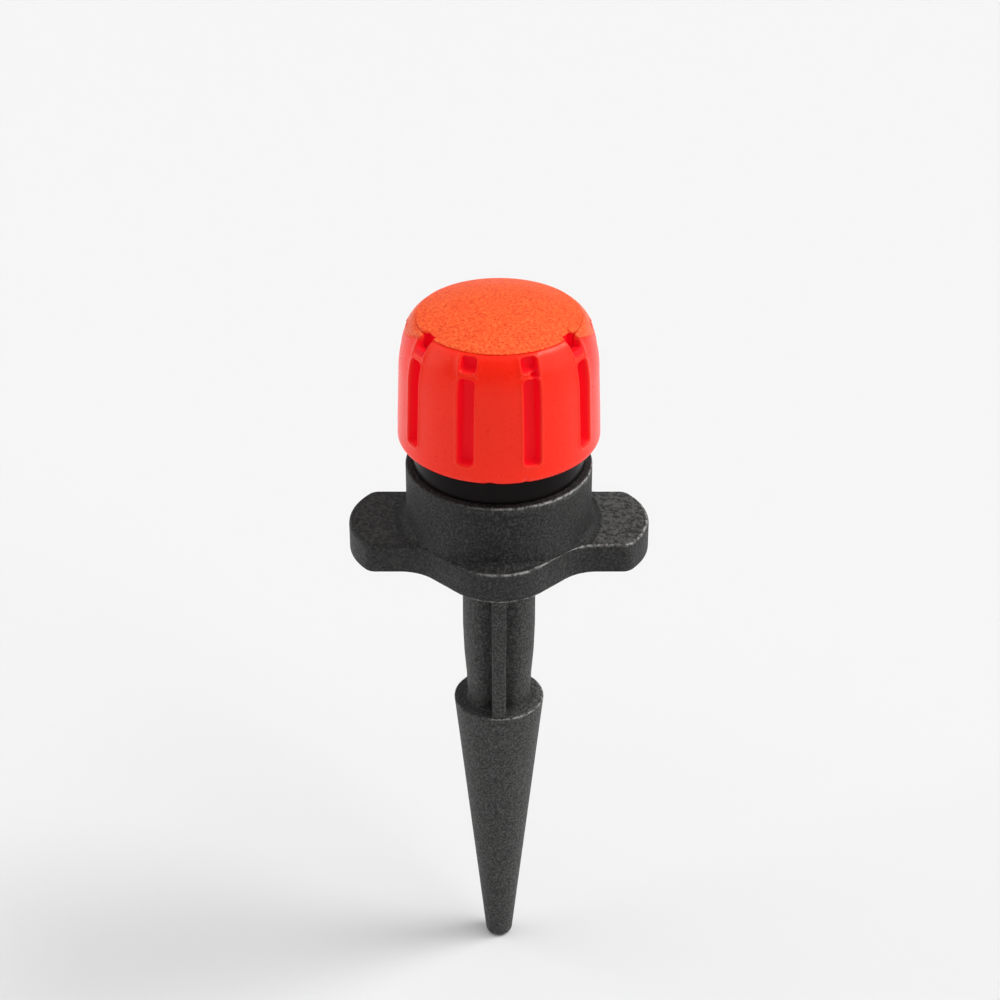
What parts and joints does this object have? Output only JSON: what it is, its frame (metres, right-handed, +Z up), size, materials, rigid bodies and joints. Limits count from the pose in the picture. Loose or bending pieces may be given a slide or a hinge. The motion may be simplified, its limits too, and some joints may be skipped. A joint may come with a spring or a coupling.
{
  "type": "drip emitter",
  "caption": "Adjustable drip emitter: fluted red cap with ring outlets screwed on a winged black base with a long hollow push-in barb.",
  "frame": {"origin": "centre of the barb's shoulder, in the plane of the ring that bears on the inside of a pipe wall", "axes": "+Z up along the emitter's axis from the barb to the cap, +X along the wings, -Y is the pictured front"},
  "size_m": [0.0232, 0.0166, 0.0605],
  "materials": {
    "base_plastic": "fine spark-eroded matte with lighter worn edges",
    "neck_plastic": "smooth glossy near-black",
    "seal_rubber": "plain black rubber",
    "skirt_plastic": "smooth satin orange-red moulding",
    "crown_plastic": "fine-grained matte orange-red moulding",
    "needle_plastic": "natural acetal"
  },
  "bodies": {
    "base": {"wing_base": "base_plastic", "barb_spigot": "base_plastic", "threaded_neck": "neck_plastic", "seat_washer": "seal_rubber", "neck_gasket": "seal_rubber"},
    "seal": {"cap_o_ring": "seal_rubber"},
    "cap": {"cap_skirt": "skirt_plastic", "cap_crown": "crown_plastic", "metering_needle": "needle_plastic"}
  },
  "joints": [
    {"name": "cap_lift", "type": "slide", "parent": "base", "child": "seal", "axis": [0, 0, 1], "range_m": [-0.00137, 0.0015]},
    {"name": "cap_turn", "type": "hinge", "parent": "seal", "child": "cap", "pos_m": [0, 0, 0.0243], "axis": [0, 0, 1], "range_deg": [-330, 361]}
  ],
  "couplings": [
    {"joint": "cap_turn", "follows": "cap_lift", "rad_per_m": 4188.8}
  ]
}
